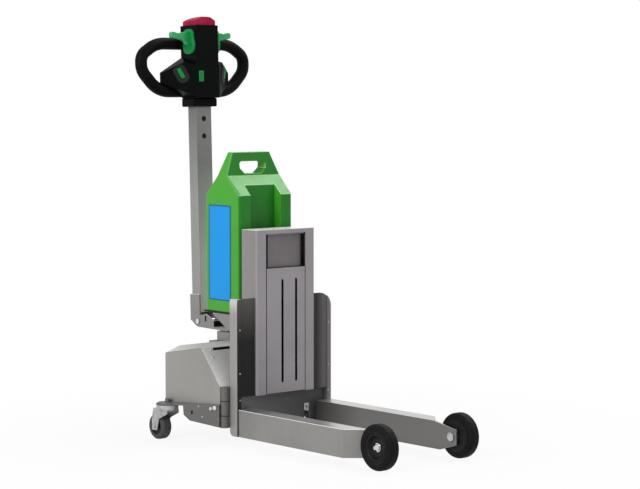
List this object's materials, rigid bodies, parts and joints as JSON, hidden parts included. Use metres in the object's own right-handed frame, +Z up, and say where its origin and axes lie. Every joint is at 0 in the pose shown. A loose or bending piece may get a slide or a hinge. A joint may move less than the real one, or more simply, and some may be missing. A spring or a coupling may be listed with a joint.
{
  "type": "electric tow tug",
  "caption": "Pedestrian electric tow tug with two forward legs, a mast with slotted lift plate, removable battery, steered drive wheel, swivel casters and tiller.",
  "frame": {"origin": "on the floor, on the centre plane, half way along the machine's length", "axes": "+X towards the load wheels, +Y to the machine's left, +Z up"},
  "size_m": [1.0842, 0.634, 1.2226],
  "materials": {
    "stainless": "bead-blasted stainless sheet",
    "zinc_steel": "zinc-plated pressed steel",
    "bright_bolt": "bright plated fasteners",
    "black_tyre": "black solid rubber",
    "black_hub": "black moulded hub",
    "grey_rubber": "non-marking grey tread",
    "green_case": "moulded green plastic",
    "blue_label": "blank blue film",
    "black_head": "black moulded shell",
    "black_grip": "soft black grip",
    "green_control": "green moulded controls",
    "red_button": "translucent red button"
  },
  "bodies": {
    "chassis": {"battery": "green_case", "battery_label": "blue_label", "battery_tray": "stainless", "caster_arm_left": "stainless", "caster_arm_right": "stainless", "column_bracket": "stainless", "front_axle_left": "bright_bolt", "front_axle_right": "bright_bolt", "hinge_leaf_left": "stainless", "hinge_leaf_right": "stainless", "hood_shell": "stainless", "hood_side_left": "stainless", "hood_side_right": "stainless", "leg_left": "stainless", "leg_right": "stainless", "lower_cross_panel": "stainless", "mast_channel": "stainless", "post_left": "stainless", "post_right": "stainless", "shield_plate_left": "stainless", "shield_plate_right": "stainless", "window_plate": "stainless"},
    "lift": {"lift_plate": "stainless", "lift_carriage": "zinc_steel"},
    "front_wheel_left": {"front_tyre_left": "black_tyre", "front_hub_left": "black_hub"},
    "front_wheel_right": {"front_tyre_right": "black_tyre", "front_hub_right": "black_hub"},
    "caster_left": {"caster_fork_left": "zinc_steel"},
    "caster_right": {"caster_fork_right": "zinc_steel"},
    "caster_roller_left": {"caster_wheel_left": "grey_rubber"},
    "caster_roller_right": {"caster_wheel_right": "grey_rubber"},
    "steering": {"drive_fork": "zinc_steel", "steering_arm": "stainless", "pivot_bolt": "bright_bolt"},
    "drive_wheel": {"drive_tyre": "black_tyre", "drive_hub": "black_hub"},
    "tiller": {"tiller_tube": "stainless", "tiller_fork": "stainless", "head_shell": "black_head", "head_collar": "black_head", "loop_handle": "black_grip", "paddle_left": "green_control", "paddle_right": "green_control", "belly_button": "red_button", "push_button": "green_control"}
  },
  "joints": [
    {"name": "lift_slide", "type": "slide", "parent": "chassis", "child": "lift", "axis": [0, 0, 1], "range_m": [0, 0.085]},
    {"name": "front_roll_left", "type": "hinge", "parent": "chassis", "child": "front_wheel_left", "pos_m": [0.48, 0.148, 0.0625], "axis": [0, 1, 0], "continuous": true},
    {"name": "caster_swivel_left", "type": "hinge", "parent": "chassis", "child": "caster_left", "pos_m": [-0.274, 0.285, 0.09], "axis": [0, 0, 1], "continuous": true},
    {"name": "caster_roll_left", "type": "hinge", "parent": "caster_left", "child": "caster_roller_left", "pos_m": [-0.309, 0.285, 0.0375], "axis": [0, 1, 0], "continuous": true},
    {"name": "front_roll_right", "type": "hinge", "parent": "chassis", "child": "front_wheel_right", "pos_m": [0.48, -0.148, 0.0625], "axis": [0, 1, 0], "continuous": true},
    {"name": "caster_swivel_right", "type": "hinge", "parent": "chassis", "child": "caster_right", "pos_m": [-0.274, -0.285, 0.09], "axis": [0, 0, 1], "continuous": true},
    {"name": "caster_roll_right", "type": "hinge", "parent": "caster_right", "child": "caster_roller_right", "pos_m": [-0.309, -0.285, 0.0375], "axis": [0, 1, 0], "continuous": true},
    {"name": "steer", "type": "hinge", "parent": "chassis", "child": "steering", "pos_m": [-0.34, 0, 0.27], "axis": [0, 0, 1], "range_deg": [-90, 90]},
    {"name": "drive_roll", "type": "hinge", "parent": "steering", "child": "drive_wheel", "pos_m": [-0.34, 0, 0.09], "axis": [0, 1, 0], "continuous": true},
    {"name": "tiller_tilt", "type": "hinge", "parent": "steering", "child": "tiller", "pos_m": [-0.45, 0, 0.311], "axis": [0, -1, 0], "range_deg": [0, 75], "stiffness_Nm_per_rad": 16, "springref_deg": -28.65}
  ]
}
